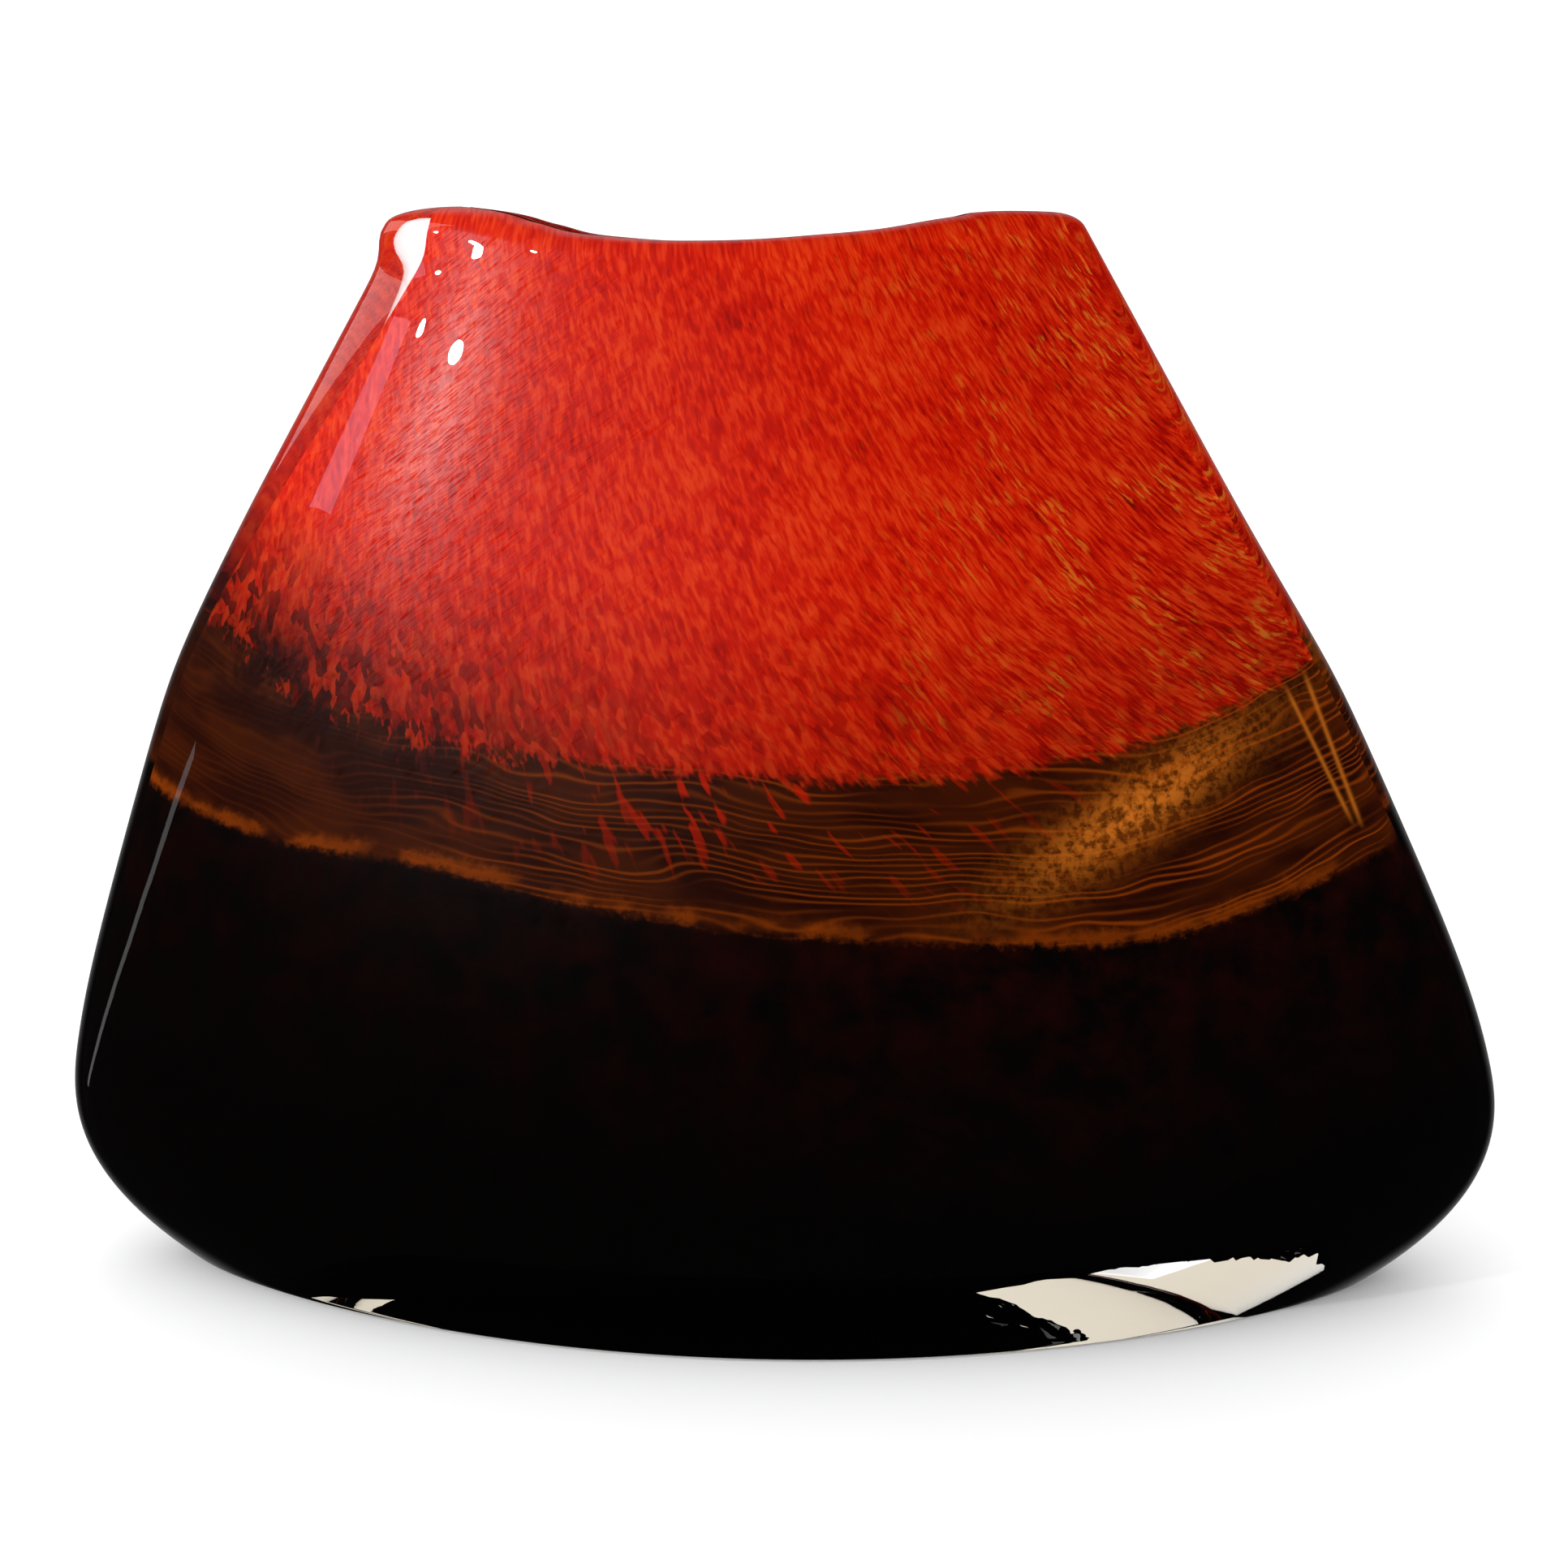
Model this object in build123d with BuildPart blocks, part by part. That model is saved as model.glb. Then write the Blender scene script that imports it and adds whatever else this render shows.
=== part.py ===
"""A heavy, flattened vase of cased glass, built up in the layers a glassblower gathers.

Seen from the front it is a wide bell with a narrow, sagging mouth. From above it is a
pointed oval. From the outside in, it has a thick clear casing, a shell of coloured glass
in three bands, and a clear lining around the hollow. All of it is in millimetres, with
+Z up and the origin in the middle of the ground foot.
"""
from build123d import *
from math import sqrt
import os

# Overall form
belly_width = 300.0
belly_depth = 112.0
belly_height = 32.0
foot_width = 252.0
foot_depth = 103.0
flank_width = 266.0
flank_height = 97.0
side_flank_depth = 97.0
side_flank_height = 100.0
shoulder_width = 179.0
shoulder_height = 180.0
side_shoulder_depth = 66.0
side_shoulder_height = 175.0
lean = -7.0  # the mouth stands this far to one side of the foot
lean_height = 170.0
blank_height = 230.0  # before the mouth is cut
blank_top_width = 121.0
blank_top_depth = 39.0

# Mouth, cut as one sagging line across the blank, with distances from the middle of the mouth
left_horn_reach = 57.6
left_horn_height = 221.0
right_horn_reach = 56.3
right_horn_height = 220.0
dip_reach = 9.2  # the lowest point is this far to the left
dip_height = 214.5
cut_reach = 85.2  # the line runs on past the glass on both sides
cut_end_height = 199.5
clear_above = 10.0  # how far the cut carries on over the blank
rim_band = 10.0  # edges down to this far under the dip belong to the mouth

# Glass thicknesses
casing_wall = 4.5
colour_wall = 2.0
lining_wall = 3.0
casing_floor = 3.0
colour_floor = 15.0
lining_floor = 5.0
tip_share = 1.25  # the walls are this much thicker at the narrow sides

# Rounding
casing_lip = 2.8
lining_lip = 1.6
foot_chamfer = 1.2
floor_radius = 8.0
tip_roundness = 0.23  # radius of the narrow sides, as a share of a section's half depth
touching = 0.01  # an edge this near a solid lies on it

# Half outlines of the blank, seen from the front and from the side, foot to top
front_half = [
    (foot_width / 2, 0),
    (belly_width / 2, belly_height),
    (flank_width / 2, flank_height),
    (shoulder_width / 2, shoulder_height),
    (blank_top_width / 2, blank_height),
]
side_half = [
    (foot_depth / 2, 0),
    (belly_depth / 2, belly_height),
    (side_flank_depth / 2, side_flank_height),
    (side_shoulder_depth / 2, side_shoulder_height),
    (blank_top_depth / 2, blank_height),
]
station_count = 14  # sections lofted up each form, evenly spaced
halvings = 30  # steps taken to find a height on a curve

# Where one colour ends and the next begins, each point as (share of the belly's width, height)
red_boundary = [(-0.6, 158.0), (-0.38, 138.0), (-0.22, 121.5), (0.06, 114.0), (0.25, 119.0), (0.6, 152.0)]
amber_boundary = [(-0.6, 112.0), (-0.3, 96.5), (-0.06, 87.5), (0.2, 82.0), (0.42, 94.0), (0.6, 104.0)]

# Depths below the outside, worked out from the thicknesses
lining_out = casing_wall + colour_wall
full_wall = lining_out + lining_wall
lining_base = casing_floor + colour_floor
hollow_base = lining_base + lining_floor

with BuildLine() as front_curve:
    Spline(*front_half)
with BuildLine() as side_curve:
    Spline(*side_half)


def width_at(curve, height):
    """How far out an upright curve, drawn as (out, height), is at that height."""
    low, high = 0.0, 1.0
    for _ in range(halvings):
        middle = (low + high) / 2
        if (curve.line @ middle).Y < height:
            low = middle
        else:
            high = middle
    return (curve.line @ low).X


def lean_at(height):
    """Sideways shift of a section: none up to the belly, all of it near the rim."""
    share = min(max((height - belly_height) / (lean_height - belly_height), 0), 1)
    return lean * share * share * (3 - 2 * share)


class PointedOval(BaseSketchObject):
    """Two equal arcs that meet at rounded tips, as wide and deep as they say."""

    def __init__(self, half_width, half_depth, mode=Mode.ADD):
        tip = tip_roundness * half_depth
        # radius of each long arc, then the point where the two would meet if left sharp
        arc = ((half_width - tip) ** 2 + half_depth**2 - tip**2) / 2 / (half_depth - tip)
        point = sqrt(2 * arc * half_depth - half_depth**2)
        with BuildSketch() as oval:
            with BuildLine():
                ThreePointArc((-point, 0), (0, -half_depth), (point, 0))
                ThreePointArc((point, 0), (0, half_depth), (-point, 0))
            make_face()
            fillet(oval.vertices(), tip)
        super().__init__(obj=oval.sketch, rotation=0, align=None, mode=mode)


class BlownForm(BasePartObject):
    """The blank with its walls brought in, closed above a rounded floor if it has one."""

    def __init__(self, wall, floor=0.0, mode=Mode.ADD):
        with BuildPart() as form:
            for step in range(station_count + 1):
                height = blank_height * step / station_count
                with BuildSketch(Plane(origin=(lean_at(height), 0, height))):
                    PointedOval(
                        width_at(front_curve, height) - tip_share * wall,
                        width_at(side_curve, height) - wall,
                    )
            loft()
            if floor:
                split(bisect_by=Plane.XY.offset(floor), keep=Keep.TOP)
                fillet(form.faces().sort_by(Axis.Z)[0].edges(), floor_radius)
        super().__init__(part=form.part, rotation=(0, 0, 0), align=None, mode=mode)


class BelowLine(BasePartObject):
    """Everything under a line that sags across the front, right through to the back."""

    def __init__(self, boundary, mode=Mode.ADD):
        with BuildPart() as below:
            with BuildSketch(Plane.XZ.offset(belly_depth)):
                with BuildLine():
                    edge = Spline(*[(belly_width * across, height) for across, height in boundary])
                    Polyline(edge @ 1, (belly_width, 0), (-belly_width, 0), edge @ 0)
                make_face()
            extrude(amount=-2 * belly_depth)
        super().__init__(part=below.part, rotation=(0, 0, 0), align=None, mode=mode)


# The sagging mouth: everything above this line is air
with BuildPart() as above_rim:
    with BuildSketch(Plane.XZ.offset(belly_depth)):
        with BuildLine():
            mouth = Spline(
                (lean - cut_reach, cut_end_height),
                (lean - left_horn_reach, left_horn_height),
                (lean - dip_reach, dip_height),
                (lean + right_horn_reach, right_horn_height),
                (lean + cut_reach, cut_end_height),
            )
            Polyline(
                mouth @ 1,
                (belly_width, blank_height + clear_above),
                (-belly_width, blank_height + clear_above),
                mouth @ 0,
            )
        make_face()
    extrude(amount=-2 * belly_depth)


def on_rim(edge):
    """True for the edges where the mouth was cut."""
    return edge.center().Z > dip_height - rim_band


# Thick clear glass outside everything, with a fire-polished lip and a flat ground foot
with BuildPart() as outer_casing:
    BlownForm(wall=0)
    add(above_rim.part, mode=Mode.SUBTRACT)
    fillet(outer_casing.edges().filter_by(on_rim), casing_lip)
    chamfer(outer_casing.faces().sort_by(Axis.Z)[0].edges(), foot_chamfer)
    BlownForm(wall=casing_wall, floor=casing_floor, mode=Mode.SUBTRACT)

# The first bubble: clear glass all round the hollow, rounded over at the mouth
with BuildPart() as inner_lining:
    BlownForm(wall=lining_out, floor=lining_base)
    add(above_rim.part, mode=Mode.SUBTRACT)
    hollow = BlownForm(wall=full_wall, floor=hollow_base, mode=Mode.SUBTRACT)
    inner_rim = inner_lining.edges().filter_by(
        lambda edge: on_rim(edge) and hollow.distance_to(edge @ 0.5) < touching
    )
    fillet(inner_rim, lining_lip)

# The coloured shell between them, which the next three pieces share
with BuildPart() as colour_shell:
    BlownForm(wall=casing_wall, floor=casing_floor)
    add(above_rim.part, mode=Mode.SUBTRACT)
    BlownForm(wall=lining_out, floor=lining_base, mode=Mode.SUBTRACT)

# Red and orange frit, from the rim down
with BuildPart() as red_frit_layer:
    add(colour_shell.part)
    BelowLine(red_boundary, mode=Mode.SUBTRACT)

# Amber glass drawn into fine bands
with BuildPart() as amber_band:
    add(colour_shell.part)
    BelowLine(red_boundary, mode=Mode.INTERSECT)
    BelowLine(amber_boundary, mode=Mode.SUBTRACT)

# Black glass, which also closes the shell under the hollow
with BuildPart() as black_layer:
    add(colour_shell.part)
    BelowLine(amber_boundary, mode=Mode.INTERSECT)

os.makedirs("parts", exist_ok=True)
pieces = {
    "outer_casing": outer_casing,
    "red_frit_layer": red_frit_layer,
    "amber_band": amber_band,
    "black_layer": black_layer,
    "inner_lining": inner_lining,
}
for name, piece in pieces.items():
    piece.part.label = name
    export_step(piece.part, f"parts/{name}.step")
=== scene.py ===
"""A heavy, flattened vase of cased glass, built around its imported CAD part.

Five closed shells lie one inside the next: a thick clear casing, a coloured shell in three
bands, and a clear lining around the hollow. One Geometry Nodes tree shapes them all. Sizes
are in metres in the part's own frame, with +Z up and the origin in the middle of the foot.
"""

from math import cos, e, pi, radians, sin, tau

import bmesh
import bpy
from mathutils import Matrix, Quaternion, Vector


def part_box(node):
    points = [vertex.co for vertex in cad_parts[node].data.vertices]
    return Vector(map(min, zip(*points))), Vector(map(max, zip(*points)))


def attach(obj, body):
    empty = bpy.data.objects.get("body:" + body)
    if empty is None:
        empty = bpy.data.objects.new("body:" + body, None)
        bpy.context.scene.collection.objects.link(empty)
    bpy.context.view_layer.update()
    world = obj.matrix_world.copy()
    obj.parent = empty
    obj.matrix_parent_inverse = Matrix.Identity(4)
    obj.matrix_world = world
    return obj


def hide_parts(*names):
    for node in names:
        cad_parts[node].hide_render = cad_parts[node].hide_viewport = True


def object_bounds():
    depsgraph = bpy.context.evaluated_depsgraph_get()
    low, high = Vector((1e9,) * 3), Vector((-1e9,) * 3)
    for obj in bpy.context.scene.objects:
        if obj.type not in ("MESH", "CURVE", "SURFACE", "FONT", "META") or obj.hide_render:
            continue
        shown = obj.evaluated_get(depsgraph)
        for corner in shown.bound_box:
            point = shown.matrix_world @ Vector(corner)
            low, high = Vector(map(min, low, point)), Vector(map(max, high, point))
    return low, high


bl_info = {
    "name": "Cased Glass Vase",
    "version": (1, 0, 0),
    "blender": (4, 5, 0),
    "location": "3D View > Sidebar > Vase",
    "description": "Builds a flattened vase of cased glass and a plain studio around its CAD frame",
    "category": "Add Mesh",
}

MM = 0.001

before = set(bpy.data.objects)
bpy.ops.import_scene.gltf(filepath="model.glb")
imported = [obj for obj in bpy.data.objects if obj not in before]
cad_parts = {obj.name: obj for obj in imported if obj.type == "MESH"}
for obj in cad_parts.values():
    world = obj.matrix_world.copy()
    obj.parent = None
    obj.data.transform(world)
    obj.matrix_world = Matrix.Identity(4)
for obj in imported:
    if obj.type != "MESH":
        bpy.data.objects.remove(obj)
cad_low, cad_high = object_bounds()
core_low, core_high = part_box("black_layer")
lining_low, lining_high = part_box("inner_lining")


# ---------------------------------------------------------------- sizes and colours

def length(name, description, default):
    """A size in metres that the panel shows."""
    return bpy.props.FloatProperty(name=name, description=description, default=default, unit="LENGTH")


def number(name, description, default):
    """A plain number that the panel shows."""
    return bpy.props.FloatProperty(name=name, description=description, default=default)


def turning(name, description, degrees):
    """An angle that the panel shows, given in degrees."""
    angle = radians(degrees)
    return bpy.props.FloatProperty(name=name, description=description, default=angle, subtype="ANGLE")


def colour(name, description, red, green, blue):
    """A colour that the panel shows, given as it looks on a display, from 0 to 255."""
    linear = [((channel / 255 + 0.055) / 1.055) ** 2.4 for channel in (red, green, blue)]
    return bpy.props.FloatVectorProperty(
        name=name, description=description, default=(*linear, 1), size=4, subtype="COLOR", min=0, max=1
    )


class VaseSizes(bpy.types.PropertyGroup):
    """The shape of the vase. Its outer sizes are read from the CAD frame."""

    half_width: length("Half Width", "From the middle to a side, at the belly", min(cad_high.x, -cad_low.x))
    half_depth: length("Half Depth", "From the middle to the front, at the belly", cad_high.y)
    casing_wall: length("Casing Wall", "Thickness of the clear casing", cad_high.y - core_high.y)
    colour_wall: length("Colour Wall", "Thickness of the coloured shell", core_high.y - lining_high.y)
    lining_wall: length("Lining Wall", "Thickness of the clear lining", 3 * MM)
    core_floor: length("Core Floor", "Height of the coloured shell's underside", core_low.z)
    lining_floor: length("Lining Floor", "Height of the lining's underside", lining_low.z)
    hollow_floor: length("Hollow Floor", "Height of the bottom of the hollow", lining_low.z + 5 * MM)
    overlap: length("Overlap", "How far clear glass runs into colour, so no air is left between", 0.25 * MM)
    lean: length("Lean", "How far the mouth stands to one side of the foot", -7 * MM)
    dip_height: length("Dip Height", "Lowest point of the mouth", 214.5 * MM)
    mouth_rise: length("Mouth Rise", "How far the ends of the mouth stand over the dip", 6.85 * MM)
    core_lift: length("Core Lift", "How far the core's underside is raised in front", 13 * MM)
    back_drop: length("Back Drop", "How far the core's underside is lowered at the back", 2.2 * MM)
    lip_crown: length("Lip Crown", "How far the lip falls away from its crest", 3 * MM)
    lip_flare: length("Lip Flare", "How far the lip turns out at the left", 3 * MM)
    left_inset: length("Left Inset", "Extra clear glass at the upper left", 6 * MM)
    casing_wave: length("Casing Wave", "Height of the slow waves in the casing", 0.07 * MM)
    lining_wave: length("Lining Wave", "Height of the slow waves in the lining", 0.12 * MM)


class VaseColours(bpy.types.PropertyGroup):
    """The colours of the glass."""

    maroon: colour("Maroon", "Shade at the foot of the red glass", 84, 12, 5)
    dark_red: colour("Dark Red", "Darkest chips in the red glass", 132, 15, 5)
    deep_red: colour("Deep Red", "Dark chips in the red glass", 186, 17, 4)
    red: colour("Red", "Most of the red glass", 216, 34, 6)
    orange_red: colour("Orange Red", "Light chips in the red glass", 234, 70, 24)
    # Gold is the frit's own colour in the amber; at the right of the red it also paints light shining through
    # the frit.
    gold: colour("Gold", "Glints in the red and amber glass", 232, 132, 40)
    amber: colour("Amber", "Light lines in the amber band", 156, 68, 8)
    brown: colour("Brown", "Dark lines in the amber band", 34, 7, 2)
    ember: colour("Ember", "Red-brown haze in the black glass", 44, 8, 3)
    black: colour("Black", "The black glass", 4, 1.5, 1)


class StudioSettings(bpy.types.PropertyGroup):
    """The camera and the light."""

    eye_distance: length("Eye Distance", "From the middle of the vase to the camera", 512.5 * MM)
    eye_aside: length("Eye Aside", "How far the camera looks past the middle of the vase", 1.85 * MM)
    eye_height: length("Eye Height", "Height of the camera over the floor", 213.5 * MM)
    eye_turn: turning("Eye Turn", "How far the camera stands to the right", 3)
    eye_pitch: turning("Eye Pitch", "How far the camera looks down", 12)
    lens: number("Lens", "Focal length in millimetres on a 36 mm sensor", 58.14)
    sky: number("Sky", "Brightness of the pale surroundings", 1.25)
    through_glass: colour("Through Glass", "Tone of the surroundings seen through clear glass", 216, 206, 190)
    front_in_gloss: number("Front in Gloss", "Share of the surroundings in front that glass mirrors", 0.006)
    back_in_gloss: number("Back in Gloss", "Share of the surroundings behind that glass mirrors", 0.2)


# ---------------------------------------------------------------- node trees in plain arithmetic

class Wire:
    """One output in a node tree. Arithmetic on it adds the Math nodes."""

    def __init__(self, tree, socket):
        self.tree = tree
        self.socket = socket

    def math(self, operation, *values, clamp=False):
        settings = {"operation": operation, "use_clamp": clamp}
        return add(self.tree, "ShaderNodeMath", settings, dict(enumerate(values)))[0]

    def __add__(self, other):
        return self.math("ADD", self, other)

    def __radd__(self, other):
        return self.math("ADD", other, self)

    def __sub__(self, other):
        return self.math("SUBTRACT", self, other)

    def __rsub__(self, other):
        return self.math("SUBTRACT", other, self)

    def __mul__(self, other):
        return self.math("MULTIPLY", self, other)

    def __rmul__(self, other):
        return self.math("MULTIPLY", other, self)

    def __truediv__(self, other):
        return self.math("DIVIDE", self, other)

    def __rtruediv__(self, other):
        return self.math("DIVIDE", other, self)

    def __pow__(self, other):
        return self.math("POWER", self, other)

    def __rpow__(self, other):
        return self.math("POWER", other, self)

    def __abs__(self):
        return self.math("ABSOLUTE", self)

    def sin(self):
        return self.math("SINE", self)

    def cos(self):
        return self.math("COSINE", self)

    def at_least(self, other):
        return self.math("MAXIMUM", self, other)

    def clamped(self):
        return self.math("ADD", self, 0, clamp=True)

    def ramp(self, low, high):
        """0 below low and 1 above high, straight between them."""
        return ((self - low) / (high - low)).clamped()

    def ease(self, low, high):
        """0 below low and 1 above high, smooth between them."""
        share = self.ramp(low, high)
        return share * share * (3 - 2 * share)

    def bump(self, middle, spread):
        """1 at the middle, falling smoothly to nothing on both sides."""
        away = (self - middle) / spread
        return e ** (-1 * away * away)


class Added:
    """A node that was just added, whose outputs are read by number or name."""

    def __init__(self, tree, node):
        self.tree = tree
        self.node = node

    def __getitem__(self, key):
        return Wire(self.tree, pick(self.node.outputs, key))


def pick(sockets, key):
    """A socket by number, by identifier or by name."""
    if isinstance(key, int):
        return sockets[key]
    exact = [socket for socket in sockets if socket.identifier == key]
    return (exact or [socket for socket in sockets if socket.name == key])[0]


def add(tree, kind, settings=None, inputs=None):
    """Adds one node: its settings come first, then the values or links of its sockets."""
    node = tree.nodes.new(kind)
    for name, value in (settings or {}).items():
        if name == "stops":
            set_stops(node.color_ramp.elements, value)
        elif name == "points":
            set_points(node.mapping, value)
        else:
            setattr(node, name, value)
    for key, value in (inputs or {}).items():
        socket = pick(node.inputs, key)
        if isinstance(value, Wire):
            tree.links.new(value.socket, socket)
        else:
            socket.default_value = value
    return Added(tree, node)


def set_stops(elements, stops):
    """Gives a colour ramp its stops, each as (position, colour)."""
    while len(elements) < len(stops):
        elements.new(1)
    for element, (position, value) in zip(elements, stops):
        element.position = position
        element.color = value


def set_points(mapping, points):
    """Gives a float curve its points, each as (across, up), both from 0 to 1."""
    curve = mapping.curves[0]
    while len(curve.points) < len(points):
        curve.points.new(1, 1)
    for point, place in zip(curve.points, points):
        point.location = place
    mapping.update()


def mix(a, b, share):
    """Blends two colours, of which at least one is a Wire, or the share is."""
    tree = next(value.tree for value in (share, a, b) if isinstance(value, Wire))
    inputs = {"Factor_Float": share, "A_Color": a, "B_Color": b}
    return add(tree, "ShaderNodeMix", {"data_type": "RGBA"}, inputs)["Result_Color"]


def place(tree, x, y, z):
    """Three numbers as one vector."""
    return add(tree, "ShaderNodeCombineXYZ", None, {0: x, 1: y, 2: z})[0]


def noise(tree, vector, scale=1, detail=2, roughness=0.5):
    """Soft noise from 0 to 1."""
    inputs = {"Vector": vector, "Scale": scale, "Detail": detail, "Roughness": roughness}
    return add(tree, "ShaderNodeTexNoise", None, inputs)[0]


# ---------------------------------------------------------------- the shape of a shell

TOUCHING = 0.01 * MM  # points nearer to each other than this are one point

# Where the rows of a shell run, from its underside up the outside, over the edge and back down
UNDERSIDE_END, OUTSIDE_END, EDGE_END, INSIDE_END = 0.10, 0.48, 0.54, 0.90

SHELL_INPUTS = (
    ("Around", "NodeSocketInt", 256),
    ("Rows", "NodeSocketInt", 320),
    ("Half Width", "NodeSocketFloat", 0.15),
    ("Half Depth", "NodeSocketFloat", 0.056),
    ("Outer Depth", "NodeSocketFloat", 0.0),
    ("Inner Depth", "NodeSocketFloat", 0.0045),
    ("Outer Floor", "NodeSocketFloat", 0.0),
    ("Inner Floor", "NodeSocketFloat", 0.015),
    ("Outer Bowl", "NodeSocketFloat", 0.0012),
    ("Inner Bowl", "NodeSocketFloat", 0.010),
    ("Outer Squareness", "NodeSocketFloat", 12.0),
    ("Inner Squareness", "NodeSocketFloat", 5.0),
    ("Ring", "NodeSocketFloat", 0.0),
    ("Base Rise", "NodeSocketFloat", 0.0),
    ("Base Tilt", "NodeSocketFloat", 0.0),
    ("Top Height", "NodeSocketFloat", 0.2145),
    ("Top Rise", "NodeSocketFloat", 0.0),
    ("Mouth Rise", "NodeSocketFloat", 0.0),
    ("Top Tilt", "NodeSocketFloat", 0.0),
    ("Crown", "NodeSocketFloat", 0.003),
    ("Full Wall", "NodeSocketFloat", 0.0095),
    ("Lean", "NodeSocketFloat", -0.007),
    ("Left Inset", "NodeSocketFloat", 0.006),
    ("Lip Flare", "NodeSocketFloat", 0.003),
    ("Core Lift", "NodeSocketFloat", 0.013),
    ("Back Drop", "NodeSocketFloat", 0.0022),
    ("Outer Touched", "NodeSocketFloat", 0.0),
    ("Inner Touched", "NodeSocketFloat", 0.0),
    ("Material", "NodeSocketMaterial", None),
)

# Shape of the blank: its tapers set in one above another, each as (slope, height, softness), and
# it tucks under at the foot
FRONT_FORM = {
    "top": 1.0172,
    "tapers": ((0.404, 45.1 * MM, 12.6 * MM), (0.176, 128.0 * MM, 5.0 * MM)),
    "tuck": 0.1807,
    "tuck_height": 46.6 * MM,
    "tuck_power": 2.61,
}
SIDE_FORM = {
    "top": 1.1530,
    "tapers": ((0.261, 58.7 * MM, 54.5 * MM),),
    "tuck": 0.1627,
    "tuck_height": 60.0 * MM,
    "tuck_power": 1.99,
}
TIP_THICKENING = 1.25  # the walls are this much thicker at the narrow sides
OVAL_SHARPNESS, OVAL_BLUNTNESS = 0.6, 0.35
CROWN_SQUARENESS = 2.3

# The line of the mouth, as (share of the way across, share of the rise from the dip)
MOUTH_LINE = (
    (-1, 0.97), (-0.84, 0.82), (-0.66, 0.49), (-0.42, 0.12), (-0.14, 0),
    (0.28, 0.18), (0.70, 0.66), (0.84, 0.82), (1, 0.81),
)

# Heights between which the lean and the thicker clear glass at the upper left come in, the depth
# below the outside where that glass has its full thickness, and where the lip flares
LEAN_HEIGHTS = (32 * MM, 170 * MM)
INSET_HEIGHTS = (120 * MM, 215 * MM)
INSET_DEPTH = 4.5 * MM
FLARE_HEIGHT, FLARE_SPREAD = 217 * MM, 5 * MM

# The casing and the core share one ragged surface under the core, so they have the same rows
FINE = {"Around": 300, "Rows": 320}
CORE_BOWL, CORE_SQUARENESS = 3 * MM, 5.0

# That surface in plan, where each pair is the start and the end of a smooth step. In front it is
# raised, except at its left and right ends. At the back it is lowered, except in a ragged hollow
# at the right and, a little, in a dent at the left.
RAISED_LEFT, RAISED_RIGHT = (-130 * MM, -70 * MM), (118 * MM, 138 * MM)
FRONT_TO_BACK = (-40 * MM, 10 * MM)
HOLLOW_START = (25 * MM, 100 * MM)
DENT_MIDDLE, DENT_SPREAD, DENT_SHARE = -118 * MM, 14 * MM, 0.3
HOLLOW_GRAIN = 190.0  # fineness of the hollow's ragged edge, per metre
FADE_HEIGHTS = (4 * MM, 40 * MM)  # the lift fades out between these heights


def log(value):
    """Natural logarithm of a Wire."""
    return value.math("LOGARITHM", value, e)


def taper(height, slope, knee, softness):
    """How much a taper that sets in softly at its knee has taken off by a height."""
    return slope * softness * log(1 + e ** ((height - knee) / softness))


def blank_reach(height, reach, form):
    """Half width or half depth of the blank at a height."""
    narrowing = sum(taper(height, *values) for values in form["tapers"])
    tuck = form["tuck"] * (1 - height / form["tuck_height"]).at_least(0) ** form["tuck_power"]
    return reach * (form["top"] - tuck) - narrowing


def underside_lift(tree, given, plan_x, plan_y):
    """How far the surface under the core is raised or lowered, at a place in plan."""
    rough = noise(tree, place(tree, plan_x, plan_y, 0), HOLLOW_GRAIN, 4).ease(0.3, 0.7)
    dent = DENT_SHARE * plan_x.bump(DENT_MIDDLE, DENT_SPREAD)
    hollow = (plan_x.ease(*HOLLOW_START) + dent) * (0.6 + 0.45 * rough)
    within = plan_x.ease(*RAISED_LEFT) * (1 - plan_x.ease(*RAISED_RIGHT))
    raised = given["Core Lift"] * within
    return raised - (raised + given["Back Drop"]) * plan_y.ease(*FRONT_TO_BACK) * (1 - hollow)


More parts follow.
